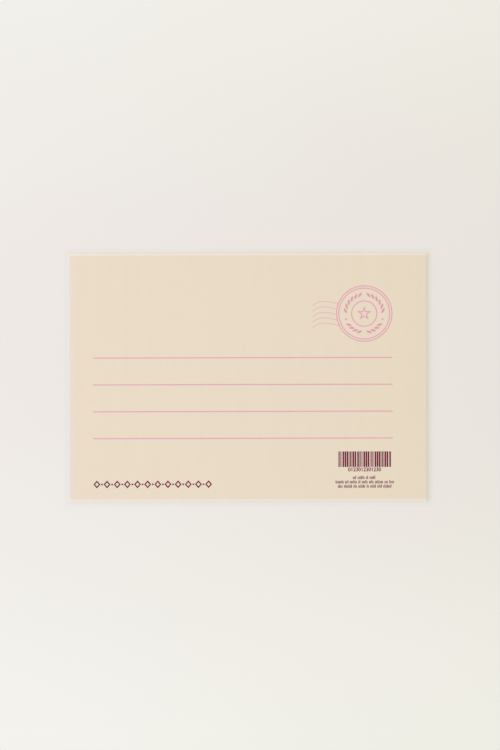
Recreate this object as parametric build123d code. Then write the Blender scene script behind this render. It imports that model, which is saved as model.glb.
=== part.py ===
from build123d import *
from math import cos, pi, radians, sin, sqrt
import os

# All sizes are in millimetres. The card lies on its picture side with the message side up:
# +X is the reader's right, +Y the reader's up, and the origin is under the middle of the card.

# Board: the trimmed sheet and its layers
card_width = 150.0
card_height = 104.0
corner_radius = 0.5
print_thickness = 0.02
coating_thickness = 0.02
picture_liner_thickness = 0.09
core_thickness = 0.19
message_liner_thickness = 0.16

# Edge of the message liner, rolled down by the trimming knife
edge_roll_width = 0.90
edge_roll_depth = 0.12
edge_roll_sections = 6

# Ink film and the bare margins of the message side
ink_thickness = 0.02
left_margin = 10.1
right_margin = 14.6
top_margin = 13.66
bottom_margin = 5.65

# Postmark, from its middle out: open star, inner ring, band, second ring, outer ring
star_points = 5
star_radius = 3.1
star_notch_radius = 1.2
star_stroke = 0.38
star_clearance = 2.02
ring_stroke = 0.36
band_width = 4.97
ring_gap = 0.60

# Postmark: wreath of leaves in the band, with a dot at each side (angles from the level line)
leaf_length = 2.6
leaf_width = 0.93
leaf_gap = 0.17
leaf_lean = 38.0
upper_leaf_first = 8.5
upper_leaf_last = 77.0
lower_leaf_first = 36.0
lower_leaf_last = 75.0
dot_diameter = 0.80
dot_dip = 17.0

# Postmark: cancelling strokes that run in from the left and end on the outer ring
wave_count = 5
wave_stroke = 0.32
wave_pitch = 2.28
wave_reach = 9.8
wave_run_in = 4.5
wave_rise = 1.90
wave_fall = 1.22
wave_lift = 0.56

# Writing lines, spread between the postmark and the bar code
line_count = 4
line_stroke = 0.36
space_above_lines = 6.6
space_below_lines = 5.6

# Imprint: rows of ticks in groups, bottom row first
imprint_widths = (22.6, 24.4, 10.0)
imprint_row_gap = 0.44
tick_width = 0.28
tick_spacing = 0.50
tick_height = 1.02
tall_tick_extra = 0.36
tick_group_counts = (4, 7, 3, 6, 2, 5)

# Bar code, above the imprint with a row left free for digits
barcode_width = 22.0
barcode_height = 6.5
bar_count = 30
digit_row_height = 1.75
space_above_digits = 0.20
space_below_digits = 1.75

# Footer ornament: open lozenges with a bead between each two
ornament_width = 50.0
ornament_gap = 0.30
lozenge_width = 2.9
lozenge_height = 3.3
lozenge_stroke = 0.50
bead_diameter = 0.75

# Heights of the layers
coating_bottom = print_thickness
picture_liner_bottom = coating_bottom + coating_thickness
core_bottom = picture_liner_bottom + picture_liner_thickness
message_liner_bottom = core_bottom + core_thickness
message_face = message_liner_bottom + message_liner_thickness

# Radii of the postmark, each to the outside of its stroke
inner_ring_radius = star_radius + star_clearance + ring_stroke
band_middle_radius = inner_ring_radius + band_width / 2
second_ring_radius = inner_ring_radius + band_width + ring_stroke
outer_ring_radius = second_ring_radius + ring_gap + ring_stroke

# Places on the message side
left_edge = -card_width / 2
right_edge = card_width / 2
bottom_edge = -card_height / 2
top_edge = card_height / 2
column_x = right_edge - right_margin - outer_ring_radius
postmark_y = top_edge - top_margin - outer_ring_radius
print_bottom = bottom_edge + bottom_margin
imprint_row_height = tick_height + tall_tick_extra
imprint_pitch = imprint_row_height + imprint_row_gap
imprint_top = print_bottom + imprint_pitch * (len(imprint_widths) - 1) + imprint_row_height
barcode_bottom = imprint_top + space_below_digits + digit_row_height + space_above_digits
first_line_y = postmark_y - outer_ring_radius - space_above_lines
last_line_y = barcode_bottom + barcode_height + space_below_lines


def card_outline(height, inset=0.0):
    width = card_width - 2 * inset
    depth = card_height - 2 * inset
    return Pos(0, 0, height) * RectangleRounded(width, depth, corner_radius)


def ply(bottom, thickness):
    return extrude(card_outline(bottom), amount=thickness)


def rolled_ply(bottom, thickness):
    # square cut below, then a quarter ellipse over the top edge
    sections = [card_outline(bottom)]
    for step in range(edge_roll_sections):
        turn = pi / 2 * step / (edge_roll_sections - 1)
        height = bottom + thickness - edge_roll_depth * (1 - sin(turn))
        sections.append(card_outline(height, edge_roll_width * (1 - cos(turn))))
    return loft(sections, ruled=True)


def ink(sketch):
    return extrude(Pos(0, 0, message_face) * sketch, amount=ink_thickness)


def on_circle(radius, angle):
    return Vector(radius * cos(radians(angle)), radius * sin(radians(angle)))


def ring(outer_radius):
    return Circle(outer_radius) - Circle(outer_radius - ring_stroke)


def star_outline(tip_radius, notch_radius):
    half_step = 180 / star_points
    corners = []
    for number in range(2 * star_points):
        reach = notch_radius if number % 2 else tip_radius
        corners.append(on_circle(reach, 90 + half_step * number))
    return Polygon(*corners, align=None)


def star():
    # every side lies equally far from the middle, so a smaller star leaves an even stroke
    tip = on_circle(star_radius, 0)
    notch = on_circle(star_notch_radius, 180 / star_points)
    side_distance = tip.cross(notch).length / (tip - notch).length
    shrink = 1 - star_stroke / side_distance
    opening = star_outline(star_radius * shrink, star_notch_radius * shrink)
    return star_outline(star_radius, star_notch_radius) - opening


def leaf():
    # two arcs that meet in a point at each end
    tip = leaf_length / 2
    side = leaf_width / 2
    upper = ThreePointArc((-tip, 0), (0, side), (tip, 0))
    lower = ThreePointArc((tip, 0), (0, -side), (-tip, 0))
    return make_face(upper + lower)


def leaf_angles(first, last):
    # as many leaves as the stretch holds side by side, spread evenly
    spacing = (leaf_width + leaf_gap) / sin(radians(leaf_lean))
    steps = int(radians(last - first) * band_middle_radius / spacing)
    return [first + (last - first) * number / steps for number in range(steps + 1)]


def wreath():
    # the right half leans towards the top, and the left half mirrors it
    angles = leaf_angles(upper_leaf_first, upper_leaf_last)
    angles += [-angle for angle in leaf_angles(lower_leaf_first, lower_leaf_last)]
    leaves = []
    for angle in angles:
        place = on_circle(band_middle_radius, angle)
        leaves.append(Pos(place.X, place.Y) * Rot(0, 0, angle + 90 - leaf_lean) * leaf())
    right_half = Sketch() + leaves
    return right_half + mirror(right_half, about=Plane.YZ)


def dots():
    place = on_circle(band_middle_radius, -dot_dip)
    right_dot = Pos(place.X, place.Y) * Circle(dot_diameter / 2)
    return right_dot + mirror(right_dot, about=Plane.YZ)


def wave(number):
    # one hump: an arc up to the crest, then a flatter arc down to the edge of the outer ring
    crest_y = wave_lift + wave_pitch * ((wave_count - 1) / 2 - number)
    start = Vector(-outer_ring_radius - wave_reach, crest_y - wave_rise)
    crest = Vector(start.X + wave_run_in, crest_y)
    end_y = crest_y - wave_fall
    end = Vector(-sqrt((outer_ring_radius - ring_stroke) ** 2 - end_y ** 2), end_y)
    climb = TangentArc(crest, start, tangent=(-1, 0))
    descent = TangentArc(crest, end, tangent=(1, 0))
    stroke = trace(climb, wave_stroke) + trace(descent, wave_stroke)
    return stroke - Circle(outer_ring_radius)


def writing_line(number):
    length = card_width - left_margin - right_margin
    pitch = (first_line_y - last_line_y) / (line_count - 1)
    middle_x = (left_edge + left_margin + right_edge - right_margin) / 2
    return Pos(middle_x, first_line_y - pitch * number) * Rectangle(length, line_stroke)


def barcode():
    # bars of one to three modules and gaps of one or two, in an order that holds no code
    bars = [1 + (number * number // 4 + number) % 3 for number in range(bar_count)]
    gaps = [1 + (number * number // 3 + number // 2) % 3 // 2 for number in range(bar_count - 1)]
    module = barcode_width / (sum(bars) + sum(gaps))
    strokes = []
    x = column_x - barcode_width / 2
    for bar, gap in zip(bars, gaps + [0]):
        strokes.append(Pos(x, barcode_bottom) * Rectangle(bar * module, barcode_height, align=Align.MIN))
        x += (bar + gap) * module
    return Sketch() + strokes


def tick_places(count, first_group):
    # places along a row, with one left free after each group
    places = []
    place = 0
    group = first_group
    while place < count:
        size = tick_group_counts[group % len(tick_group_counts)]
        places += range(place, min(place + size, count))
        place += size + 1
        group += 1
    return places


def imprint():
    ticks = []
    for row, width in enumerate(imprint_widths):
        count = round(width / tick_spacing)
        row_y = print_bottom + imprint_pitch * row
        first_x = column_x - (tick_spacing * (count - 1) + tick_width) / 2
        for place in tick_places(count, row):
            is_tall = (place * place + row) % 5 == 1
            height = imprint_row_height if is_tall else tick_height
            tick = Rectangle(tick_width, height, align=Align.MIN)
            ticks.append(Pos(first_x + tick_spacing * place, row_y) * tick)
    return Sketch() + ticks


def lozenge(width, height):
    return Polygon((width / 2, 0), (0, height / 2), (-width / 2, 0), (0, -height / 2), align=None)


def footer_ornament():
    # the opening keeps the stroke even all round, and the row holds as many as fit its width
    side_length = sqrt(lozenge_width ** 2 + lozenge_height ** 2)
    shrink = 1 - 2 * lozenge_stroke * side_length / (lozenge_width * lozenge_height)
    opening = lozenge(lozenge_width * shrink, lozenge_height * shrink)
    open_lozenge = lozenge(lozenge_width, lozenge_height) - opening
    pitch = lozenge_width + bead_diameter + 2 * ornament_gap
    steps = int((ornament_width - lozenge_width) / pitch)
    first_x = left_edge + left_margin + lozenge_width / 2
    middle_y = print_bottom + lozenge_height / 2
    lozenges = [Pos(first_x + pitch * number, middle_y) * open_lozenge for number in range(steps + 1)]
    bead = Pos(first_x + pitch / 2, middle_y) * Circle(bead_diameter / 2)
    beads = [Pos(pitch * number, 0) * bead for number in range(steps)]
    return Sketch() + lozenges + beads


def build_nodes():
    postmark = Pos(column_x, postmark_y)
    nodes = {
        "picture_print": ply(0, print_thickness),
        "clay_coating": ply(coating_bottom, coating_thickness),
        "picture_liner": ply(picture_liner_bottom, picture_liner_thickness),
        "core_ply": ply(core_bottom, core_thickness),
        "message_liner": rolled_ply(message_liner_bottom, message_liner_thickness),
        "postmark_outer_ring": ink(postmark * ring(outer_ring_radius)),
        "postmark_second_ring": ink(postmark * ring(second_ring_radius)),
        "postmark_inner_ring": ink(postmark * ring(inner_ring_radius)),
        "postmark_wreath": ink(postmark * wreath()),
        "postmark_dots": ink(postmark * dots()),
        "postmark_star": ink(postmark * star()),
        "barcode_bars": ink(barcode()),
        "imprint_rows": ink(imprint()),
        "footer_ornament": ink(footer_ornament()),
    }
    for number in range(wave_count):
        nodes[f"postmark_wave_{number + 1}"] = ink(postmark * wave(number))
    for number in range(line_count):
        nodes[f"writing_line_{number + 1}"] = ink(writing_line(number))
    return nodes


os.makedirs("parts", exist_ok=True)
for name, piece in build_nodes().items():
    piece.label = name
    export_step(piece, f"parts/{name}.step")
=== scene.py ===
import math

import bmesh
import bpy
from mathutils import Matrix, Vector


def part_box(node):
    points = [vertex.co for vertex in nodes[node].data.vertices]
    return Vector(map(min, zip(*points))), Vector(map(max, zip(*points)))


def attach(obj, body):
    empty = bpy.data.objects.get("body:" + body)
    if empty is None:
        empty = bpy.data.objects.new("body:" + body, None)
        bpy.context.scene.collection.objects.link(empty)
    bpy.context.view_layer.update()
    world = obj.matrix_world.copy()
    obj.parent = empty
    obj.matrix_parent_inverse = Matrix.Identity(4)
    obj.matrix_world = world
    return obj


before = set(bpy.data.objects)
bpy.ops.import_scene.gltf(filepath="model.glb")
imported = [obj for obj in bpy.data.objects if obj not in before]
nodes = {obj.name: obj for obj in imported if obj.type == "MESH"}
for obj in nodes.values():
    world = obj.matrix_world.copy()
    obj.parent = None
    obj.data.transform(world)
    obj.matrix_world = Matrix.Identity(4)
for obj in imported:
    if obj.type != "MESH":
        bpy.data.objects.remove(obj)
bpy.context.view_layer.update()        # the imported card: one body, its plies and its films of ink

millimetre = 0.001


class Wire:
    # one output of a shader node; maths on it adds Math nodes
    def __init__(self, finish, node, output=0):
        self.finish = finish
        self.node = node
        self.output = output

    @property
    def socket(self):
        return self.node.outputs[self.output]

    def out(self, name):
        return Wire(self.finish, self.node, name)

    def maths(self, operation, other=0.0):
        return self.finish.node("ShaderNodeMath", {"operation": operation}, {0: self, 1: other})

    def __add__(self, other):
        return self.maths("ADD", other)

    def __mul__(self, other):
        return self.maths("MULTIPLY", other)

    def __sub__(self, other):
        return self.maths("SUBTRACT", other)

    def __rsub__(self, other):
        return self.finish.node("ShaderNodeMath", {"operation": "SUBTRACT"}, {0: other, 1: self})

    def __abs__(self):
        return self.maths("ABSOLUTE")

    __radd__ = __add__
    __rmul__ = __mul__


class Finish:
    # the nodes of one material, or of the world, built one at a time
    def __init__(self, owner):
        owner.use_nodes = True
        self.owner = owner
        self.tree = owner.node_tree
        self.tree.nodes.clear()

    def node(self, kind, settings=None, sockets=None, output=0):
        made = self.tree.nodes.new(kind)
        for name, value in (settings or {}).items():
            setattr(made, name, value)
        for name, value in (sockets or {}).items():
            if isinstance(value, Wire):
                self.tree.links.new(value.socket, made.inputs[name])
            else:
                made.inputs[name].default_value = value
        return Wire(self, made, output)

    def place(self, stretch=(1.0, 1.0, 1.0), turn=0.0):
        # where a point of the card is, in millimetres, turned about Z and stretched
        spot = self.node("ShaderNodeTexCoord", output="Object")
        scale = tuple(1.0 / (millimetre * part) for part in stretch)
        sockets = {"Vector": spot, "Rotation": (0.0, 0.0, turn), "Scale": scale}
        return self.node("ShaderNodeMapping", {"vector_type": "POINT"}, sockets)

    def axes(self, spot):
        parts = self.node("ShaderNodeSeparateXYZ", None, {"Vector": spot})
        return parts.out("X"), parts.out("Y")

    def noise(self, spot, perMillimetre, detail=2.0, roughness=0.5):
        # soft noise about zero, from -0.5 to 0.5
        sockets = {"Vector": spot, "Scale": perMillimetre, "Detail": detail, "Roughness": roughness}
        return self.node("ShaderNodeTexNoise", None, sockets) - 0.5

    def distance(self, spot, point):
        sockets = {0: spot, 1: point}
        return self.node("ShaderNodeVectorMath", {"operation": "DISTANCE"}, sockets, output="Value")

    def fade(self, value, start, end):
        # 0 at start, 1 at end, eased
        sockets = {"Value": value, "From Min": start, "From Max": end}
        return self.node("ShaderNodeMapRange", {"interpolation_type": "SMOOTHSTEP"}, sockets)

    def mix(self, factor, first, second):
        sockets = {0: factor, 6: opaque(first), 7: opaque(second)}
        return self.node("ShaderNodeMix", {"data_type": "RGBA"}, sockets, output=2)

    def tint(self, colour, strength):
        # a colour times a number that changes over the surface
        return self.node("ShaderNodeVectorMath", {"operation": "SCALE"}, {0: colour, "Scale": strength})

    def bump(self, height, depth, strength):
        sockets = {"Height": height, "Distance": depth * millimetre, "Strength": strength}
        return self.node("ShaderNodeBump", None, sockets)

    def seen(self):
        # 1 where the camera looks, straight or by way of gloss or glass
        path = self.node("ShaderNodeLightPath")
        return path.out("Is Camera Ray") + path.out("Is Glossy Ray") + path.out("Is Transmission Ray")

    def blend(self, factor, first, second):
        return self.node("ShaderNodeMixShader", None, {0: factor, 1: first, 2: second})

    def surface(self, sockets):
        return self.node("ShaderNodeBsdfPrincipled", None, sockets)

    def show(self, shader, output="ShaderNodeOutputMaterial"):
        self.node(output, None, {"Surface": shader})
        return self.owner


def opaque(colour):
    return colour if isinstance(colour, Wire) else (*colour, 1.0)


def srgb(red, green, blue):
    # a colour as seen on screen, 0 to 255, as the shader's linear one
    def linear(level):
        part = level / 255
        return part / 12.92 if part <= 0.04045 else ((part + 0.055) / 1.055) ** 2.4
    return (linear(red), linear(green), linear(blue))


def dress(names, material):
    for name in names:
        slots = nodes[name].data.materials
        slots.clear()
        slots.append(material)


cardLow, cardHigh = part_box("message_liner")
halfWidth = cardHigh.x / millimetre
halfHeight = cardHigh.y / millimetre

# in the looks below, lengths are in millimetres, and a noise is its scale, detail and roughness


# both liners: matt cream board with an upright grain, rubbed pale along its trimmed edges, with painted
# light and shade there: paler and cooler on the left, darker on the right, away from the window
creamBoard = {
    "face": srgb(234, 219, 198),
    "rims": (       # how far in from the edge each starts and is full; the last is a pale line along the right edge, a painted highlight
        # left end: a little paler and cooler, partly rubbed fibre and partly painted window light
        {"side": "left", "start": 2.40, "full": 0.45, "feather": 0.35, "colour": srgb(232, 221, 208)},
        # right end: darker, painted shade on the side away from the window
        {"side": "right", "start": 1.35, "full": 0.45, "feather": 0.35, "colour": srgb(226, 215, 201)},
        # long edges: pale, partly rubbed fibre and partly painted highlight
        {"side": "long", "start": 1.38, "full": 0.45, "feather": 0.35, "colour": srgb(240, 230, 216)},
        # the right end's very edge: painted highlight
        {"side": "right", "start": 0.22, "full": 0.10, "feather": 0.06, "colour": srgb(247, 241, 233)},
    ),
    "ragged": (2.0, 3.0),
    "cloud": (0.11, 4.0, 0.6),
    "cloudStrength": 0.016,
    "streak": (1.0, 3.0, 0.6),
    "streakStretch": (2.4, 60.0, 1.0),
    "streakStrength": 0.032,
    "grain": (5.0, 3.0, 0.6),
    "grainStrength": 0.040,
    "fibre": (1.0, 2.0, 0.55),
    "fibreStretch": (0.10, 2.2, 1.0),
    "fibreTurns": (0.15, -0.22, 1.1),       # radians
    "fibreStrength": 0.045,
    "fibreHeight": 0.6,
    "tooth": (1.3, 2.0),
    "toothDepth": 0.012,
    "toothStrength": 0.8,
    "roughness": 0.90,
    "roughnessSpread": 0.06,
    "specular": 0.20,
}


def fibres(finish, look):
    # pulp fibres laid mostly up the card, with some that cross
    places = [finish.place(look["fibreStretch"], turn) for turn in look["fibreTurns"]]
    return sum(finish.noise(place, *look["fibre"]) for place in places)


def makeCreamBoard(name, look):
    finish = Finish(bpy.data.materials.new(name))
    spot = finish.place()
    x, y = finish.axes(spot)
    inside = {"left": halfWidth + x, "right": halfWidth - x, "long": halfHeight - abs(y)}
    ragged = finish.noise(spot, *look["ragged"])
    colour = look["face"]
    # each rim band mixes in its colour: rubbed fibre with painted light on the left end and long edges,
    # painted shade on the right end, and a painted highlight along its very edge
    for rim in look["rims"]:
        rubbedAndLit = finish.fade(inside[rim["side"]] + ragged * rim["feather"], rim["start"], rim["full"])
        colour = finish.mix(rubbedAndLit, colour, rim["colour"])

    cloud = finish.noise(spot, *look["cloud"])
    streak = finish.noise(finish.place(look["streakStretch"]), *look["streak"])
    grain = finish.noise(spot, *look["grain"])
    strands = fibres(finish, look)
    tone = 1 + cloud * look["cloudStrength"] + streak * look["streakStrength"]
    tone = tone + grain * look["grainStrength"] + strands * look["fibreStrength"]

    height = grain + strands * look["fibreHeight"] + finish.noise(spot, *look["tooth"])
    return finish.show(finish.surface({
        "Base Color": finish.tint(colour, tone),
        "Roughness": look["roughness"] + grain * look["roughnessSpread"],
        "Specular IOR Level": look["specular"],
        "Normal": finish.bump(height, look["toothDepth"], look["toothStrength"]),
    }))


# white pulp in the middle of the board and the mineral coat under the picture, seen on the cut edge
cutEdge = {
    "layers": (1.0, 3.0, 0.6),
    "layerStretch": (2.5, 2.5, 0.05),
    "layerStart": -0.05,
    "layerFull": 0.22,
    "grain": (9.0, 3.0, 0.6),
    "grainStrength": 0.10,
    "bumpDepth": 0.02,
    "bumpStrength": 0.7,
}
whiteCore = {
    "face": srgb(238, 231, 218),
    "streak": srgb(222, 209, 188),
    "roughness": 0.95,
    "specular": 0.15,
}
clayCoat = {
    "face": srgb(244, 243, 239),
    "streak": srgb(232, 230, 224),
    "roughness": 0.55,
    "specular": 0.40,
}


def makePulp(name, look):
    finish = Finish(bpy.data.materials.new(name))
    layers = finish.noise(finish.place(cutEdge["layerStretch"]), *cutEdge["layers"])
    grain = finish.noise(finish.place(), *cutEdge["grain"])
    streaked = finish.fade(layers, cutEdge["layerStart"], cutEdge["layerFull"])
    colour = finish.mix(streaked, look["face"], look["streak"])
    return finish.show(finish.surface({
        "Base Color": finish.tint(colour, 1 + grain * cutEdge["grainStrength"]),
        "Roughness": look["roughness"],
        "Specular IOR Level": look["specular"],
        "Normal": finish.bump(grain + layers, cutEdge["bumpDepth"], cutEdge["bumpStrength"]),
    }))


# ink: soaked a little into the tooth of the board, so it thins on the high fibres
inkFilm = {
    "patch": (0.55, 3.0, 0.6),
    "patchPull": 0.5,       # how much the patches decide where it thins, beside the grain
    "patchStrength": 0.10,
    "thinStart": 0.02,
    "thinFull": 0.30,
    "roughnessSpread": 0.08,
    "toothStrength": 0.6,
}
pink = srgb(228, 153, 178)
burgundy = srgb(114, 4, 58)
pinkInk = {"ink": pink, "roughness": 0.80, "specular": 0.25, "thin": 0.20, "dilute": 0.0}
faintPinkInk = {"ink": pink, "roughness": 0.82, "specular": 0.25, "thin": 0.25, "dilute": 0.42}
burgundyInk = {"ink": burgundy, "roughness": 0.75, "specular": 0.08, "thin": 0.05, "dilute": 0.0}


def makeInk(name, look):
    finish = Finish(bpy.data.materials.new(name))
    spot = finish.place()
    grain = finish.noise(spot, *creamBoard["grain"])
    patch = finish.noise(spot, *inkFilm["patch"])
    high = grain + patch * inkFilm["patchPull"]
    thin = finish.fade(high, inkFilm["thinStart"], inkFilm["thinFull"]) * look["thin"]
    bare = thin + look["dilute"] * (1 - thin)
    colour = finish.mix(bare, look["ink"], creamBoard["face"])
    return finish.show(finish.surface({
        "Base Color": finish.tint(colour, 1 + patch * inkFilm["patchStrength"]),
        "Roughness": look["roughness"] + grain * inkFilm["roughnessSpread"],
        "Specular IOR Level": look["specular"],
        "Normal": finish.bump(grain, creamBoard["toothDepth"], inkFilm["toothStrength"]),
    }))


# picture side: a quiet varnished landscape of hills under a low sun, measured from the card's middle
picture = {
    "skyHigh": srgb(240, 214, 196),
    "skyLow": srgb(250, 236, 212),
    "skyStart": -10.0,
    "sun": srgb(255, 246, 228),
    "sunPlace": (-18.0, 12.0, 0.0),
    "sunRadius": 11.0,
    "sunEdge": 0.3,
    "glowReach": 3.2,       # in radii of the sun
    "glowStrength": 0.5,
    "hills": (              # the far one first
        {"ridge": 2.0, "rise": 5.0, "length": 46.0, "shift": 0.4,
         "mist": 0.40, "colour": srgb(226, 178, 168)},
        {"ridge": -9.0, "rise": 6.0, "length": 62.0, "shift": 2.1,
         "mist": 0.30, "colour": srgb(203, 138, 138)},
        {"ridge": -21.0, "rise": 5.0, "length": 38.0, "shift": 4.0,
         "mist": 0.18, "colour": srgb(160, 84, 94)},
        {"ridge": -35.0, "rise": 4.5, "length": 55.0, "shift": 5.2,
         "mist": 0.05, "colour": srgb(104, 42, 56)},
    ),
    "ridgeNoise": (0.12, 4.0, 0.5),
    "ridgeNoiseHeight": 4.0,
    "ridgeEdge": 0.12,
    "mistReach": 16.0,
    "grain": (7.0, 2.0),
    "grainStrength": 0.06,
    "roughness": 0.22,
    "smear": (0.4, 3.0),
    "smearStrength": 0.05,
    "coat": 0.6,
    "coatRoughness": 0.08,
    "ripple": (0.5, 2.0),
    "rippleDepth": 0.02,
    "rippleStrength": 0.15,
}


def addSun(finish, spot, sky, look):
    radius = look["sunRadius"]
    fromSun = finish.distance(spot, look["sunPlace"])
    glow = finish.fade(fromSun, look["glowReach"] * radius, radius) * look["glowStrength"]
    disc = finish.fade(fromSun, radius + look["sunEdge"], radius - look["sunEdge"])
    return finish.mix(glow.maths("MAXIMUM", disc), sky, look["sun"])


def makePicture(name, look):
    finish = Finish(bpy.data.materials.new(name))
    spot = finish.place()
    x, y = finish.axes(spot)
    sky = finish.mix(finish.fade(y, look["skyStart"], halfHeight), look["skyLow"], look["skyHigh"])
    colour = addSun(finish, spot, sky, look)
    rough = finish.noise(spot, *look["ridgeNoise"]) * look["ridgeNoiseHeight"]
    for hill in look["hills"]:
        swing = x * (2 * math.pi / hill["length"]) + hill["shift"]
        depth = hill["ridge"] + hill["rise"] * swing.maths("SINE") + rough - y
        mist = finish.fade(depth, 0.0, look["mistReach"]) * hill["mist"]
        slope = finish.mix(mist, hill["colour"], look["skyLow"])
        colour = finish.mix(finish.fade(depth, -look["ridgeEdge"], look["ridgeEdge"]), colour, slope)
    grain = finish.noise(spot, *look["grain"])
    smear = finish.noise(spot, *look["smear"])
    ripple = finish.noise(spot, *look["ripple"])
    return finish.show(finish.surface({
        "Base Color": finish.tint(colour, 1 + grain * look["grainStrength"]),
        "Roughness": look["roughness"] + smear * look["smearStrength"],
        "Coat Weight": look["coat"],
        "Coat Roughness": look["coatRoughness"],
        "Normal": finish.bump(ripple, look["rippleDepth"], look["rippleStrength"]),
    }))


waveNames = [name for name in nodes if name.startswith("postmark_wave")]
lineNames = [name for name in nodes if name.startswith("writing_line")]
stampNames = [name for name in nodes if name.startswith("postmark_") and name not in waveNames]
burgundyMaterial = makeInk("burgundyInk", burgundyInk)
dress(["message_liner", "picture_liner"], makeCreamBoard("creamBoard", creamBoard))
dress(["core_ply"], makePulp("whiteCore", whiteCore))
dress(["clay_coating"], makePulp("clayCoat", clayCoat))
dress(["picture_print"], makePicture("picture", picture))
dress(lineNames + stampNames, makeInk("pinkInk", pinkInk))
dress(waveNames, makeInk("faintPinkInk", faintPinkInk))
dress(["barcode_bars", "imprint_rows", "footer_ornament"], burgundyMaterial)
print("card dressed:", len(nodes), "nodes")


# plain counting digits in the free row under the bars, as thick as the film of ink;
# there is no 4 among them, because its opening would fill when the strokes swell
digitRow = {
    "text": "0123012301230",
    "width": 13.8,
    "height": 1.65,
    "gapAbove": 0.22,
    "weight": 0.022,        # how far each stroke swells, as a share of the letter size
    "smoothness": 5,
    "draftDepth": 0.5,      # any depth will do, because the bars' own heights replace it
    "weld": 0.001,
}


def draftDigits(look):
    curve = bpy.data.curves.new("digits", "FONT")
    curve.body = look["text"]
    curve.offset = look["weight"]
    curve.resolution_u = look["smoothness"]
    curve.extrude = look["draftDepth"]
    holder = bpy.data.objects.new("digitHolder", curve)
    bpy.context.scene.collection.objects.link(holder)
    bpy.context.view_layer.update()
    mesh = bpy.data.meshes.new_from_object(holder.evaluated_get(bpy.context.evaluated_depsgraph_get()))
    bpy.data.objects.remove(holder)
    return mesh


def seatDigits(mesh, look):
    # centred under the bars, and from the board up to the top of the ink
    barLow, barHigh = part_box("barcode_bars")
    xs = [vertex.co.x for vertex in mesh.vertices]
    ys = [vertex.co.y for vertex in mesh.vertices]
    scaleX = look["width"] * millimetre / (max(xs) - min(xs))
    scaleY = look["height"] * millimetre / (max(ys) - min(ys))
    middleX = (barLow.x + barHigh.x) / 2
    topY = barLow.y - look["gapAbove"] * millimetre
    for vertex in mesh.vertices:
        vertex.co.x = middleX + (vertex.co.x - (max(xs) + min(xs)) / 2) * scaleX
        vertex.co.y = topY + (vertex.co.y - max(ys)) * scaleY
        vertex.co.z = barHigh.z if vertex.co.z > 0 else barLow.z


def weldDigits(mesh, look):
    # the faces and walls of each stroke share their corners, so that it is closed
    shape = bmesh.new()
    shape.from_mesh(mesh)
    bmesh.ops.remove_doubles(shape, verts=shape.verts, dist=look["weld"] * millimetre)
    bmesh.ops.triangulate(shape, faces=shape.faces)
    bmesh.ops.recalc_face_normals(shape, faces=shape.faces)
    shape.to_mesh(mesh)
    shape.free()


def makeDigits(look, material):
    mesh = draftDigits(look)
    seatDigits(mesh, look)
    weldDigits(mesh, look)
    piece = bpy.data.objects.new("barcode_digits", mesh)
    bpy.context.scene.collection.objects.link(piece)
    mesh.materials.clear()
    mesh.materials.append(material)
    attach(piece, "root")
    print("digits set:", len(mesh.polygons), "faces")


makeDigits(digitRow, burgundyMaterial)


# plain pale floor with painted light: a touch lighter farther off, running out into an even pale
# distance;
# beside the card lies a painted soft shade, deeper on the right, away from the window
paleDistance = srgb(238, 236, 231)
floorLook = {
    "near": srgb(236, 231, 226),
    "far": srgb(243, 242, 235),
    "middle": (0.0, 20.0, 0.0),
    "nearReach": 20.0,
    "farReach": 190.0,
    "stretch": (3.5, 1.0, 1.0),
    "shade": srgb(231, 226, 219),
    "shadeAround": 0.5,
    "shadeRight": 0.85,
    "shadeStart": 0.1,
    "shadeFull": 0.7,
    "shadeEnd": 3.0,
    "shadeCorner": 2.0,
    "cloud": (0.02, 3.0),
    "cloudStrength": 0.008,
    "paleMiddle": (0.0, 0.0, 0.0),
    "paleStart": 150.0,
    "paleFull": 350.0,
    "roughness": 0.95,
    "specular": 0.1,
    "half": 12.0,           # metres, as the drop is
    "drop": 0.00004,
}


def shadeBeside(finish, away, look):
    # none where the card touches, full a little off it, then fading out
    rise = finish.fade(away, look["shadeStart"], look["shadeFull"])
    return rise * finish.fade(away, look["shadeEnd"], look["shadeFull"])


def makeFloorFinish(name, look):
    finish = Finish(bpy.data.materials.new(name))
    spot = finish.place()
    x, y = finish.axes(spot)
    away = finish.distance(finish.place(look["stretch"]), look["middle"])
    # painted light: darker near the card, lighter farther off
    paintedFalloff = finish.fade(away, look["nearReach"], look["farReach"])
    colour = finish.mix(paintedFalloff, look["near"], look["far"])
    pastLong = abs(y) - halfHeight
    beside = finish.fade(pastLong, 0.0, -look["shadeCorner"])
    around = shadeBeside(finish, pastLong.maths("MAXIMUM", abs(x) - halfWidth), look)
    onRight = shadeBeside(finish, x - halfWidth, look) * beside
    colour = finish.mix(around * look["shadeAround"], colour, look["shade"])
    colour = finish.mix(onRight * look["shadeRight"], colour, look["shade"])
    cloud = finish.noise(spot, *look["cloud"])
    matt = finish.surface({
        "Base Color": finish.tint(colour, 1 + cloud * look["cloudStrength"]),
        "Roughness": look["roughness"],
        "Specular IOR Level": look["specular"],
    })
    glow = finish.node("ShaderNodeEmission", None, {"Color": opaque(paleDistance)})
    pale = finish.fade(finish.distance(spot, look["paleMiddle"]), look["paleStart"], look["paleFull"])
    return finish.show(finish.blend(pale * finish.seen(), matt, glow))


def makeFloor(look):
    half = look["half"]
    mesh = bpy.data.meshes.new("floor")
    corners = [(-half, -half, 0), (half, -half, 0), (half, half, 0), (-half, half, 0)]
    mesh.from_pydata(corners, [], [(0, 1, 2, 3)])
    mesh.materials.append(makeFloorFinish("floor", look))
    floor = bpy.data.objects.new("floor", mesh)
    floor.location.z = -look["drop"]
    bpy.context.scene.collection.objects.link(floor)
    print("floor laid")


makeFloor(floorLook)


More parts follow.
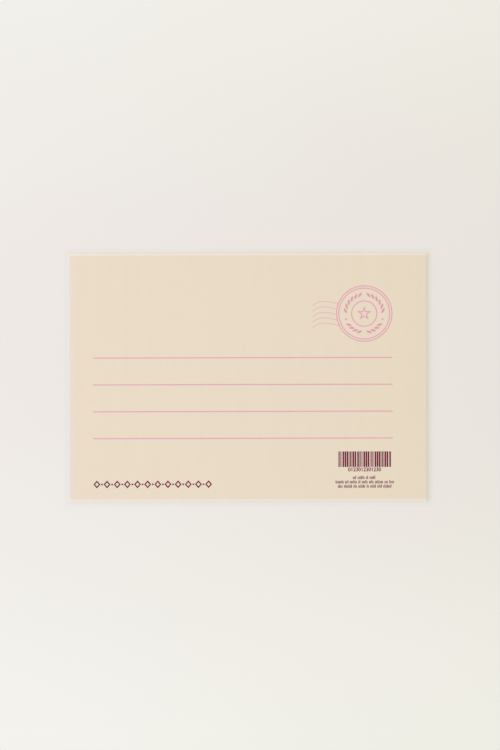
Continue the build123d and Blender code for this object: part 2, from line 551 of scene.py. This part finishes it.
# soft studio light: an even warm surround, a lamp above the left half, a broad cool window on the left
studio = {
    "surround": (1.0, 0.986, 0.79),
    "surroundStrength": 0.72,
    "lamps": (      # metres, and degrees above the floor and round from +X
        {"name": "overhead", "size": 0.6, "distance": 0.8, "height": 77.0, "side": 180.0,
         "power": 1.21, "colour": (0.98, 1.0, 0.89)},
        {"name": "window", "size": 1.5, "distance": 1.5, "height": 35.0, "side": 182.0,
         "power": 14.4, "colour": (0.43, 0.45, 1.0)},
    ),
}


def makeLamp(look):
    lamp = bpy.data.lights.new(look["name"], "AREA")
    lamp.size = look["size"]
    lamp.energy = look["power"]
    lamp.color = look["colour"]
    stand = bpy.data.objects.new(look["name"], lamp)
    rise = math.radians(look["height"])
    side = math.radians(look["side"])
    away = (math.cos(side) * math.cos(rise), math.sin(side) * math.cos(rise), math.sin(rise))
    stand.location = [part * look["distance"] for part in away]
    stand.rotation_euler = (math.pi / 2 - rise, 0.0, side + math.pi / 2)
    bpy.context.scene.collection.objects.link(stand)


def makeStudio(look):
    finish = Finish(bpy.data.worlds.new("studio"))
    sockets = {"Color": opaque(look["surround"]), "Strength": look["surroundStrength"]}
    light = finish.node("ShaderNodeBackground", None, sockets)
    pale = finish.node("ShaderNodeBackground", None, {"Color": opaque(paleDistance)})
    shader = finish.blend(finish.seen(), light, pale)
    bpy.context.scene.world = finish.show(shader, "ShaderNodeOutputWorld")
    for lamp in look["lamps"]:
        makeLamp(lamp)
    print("studio lit:", len(look["lamps"]), "lamps")


makeStudio(studio)


# camera straight above, framed as the photograph is
photo = {
    "frame": (500, 750),        # pixels, as the card's width and centre are
    "cardWidth": 358.4,
    "cardCentre": (248.2, 377.3),
    "roll": -0.0026,            # radians
    "height": 1.2,              # metres
    "sensor": 36.0,
    "clipStart": 0.01,          # metres
    "clipEnd": 100.0,
}


def makeCamera(look):
    width, height = look["frame"]
    pixel = (cardHigh.x - cardLow.x) / look["cardWidth"]
    camera = bpy.data.cameras.new("camera")
    camera.sensor_width = look["sensor"]
    camera.lens = look["sensor"] * (look["height"] - cardHigh.z) / (height * pixel)
    camera.clip_start = look["clipStart"]
    camera.clip_end = look["clipEnd"]
    stand = bpy.data.objects.new("camera", camera)
    centreX, centreY = look["cardCentre"]
    stand.location = ((width / 2 - centreX) * pixel, (centreY - height / 2) * pixel, look["height"])
    stand.rotation_euler = (0.0, 0.0, look["roll"])
    bpy.context.scene.collection.objects.link(stand)
    bpy.context.scene.camera = stand
    print("camera set")


makeCamera(photo)
bpy.context.scene.view_settings.view_transform = "Standard"
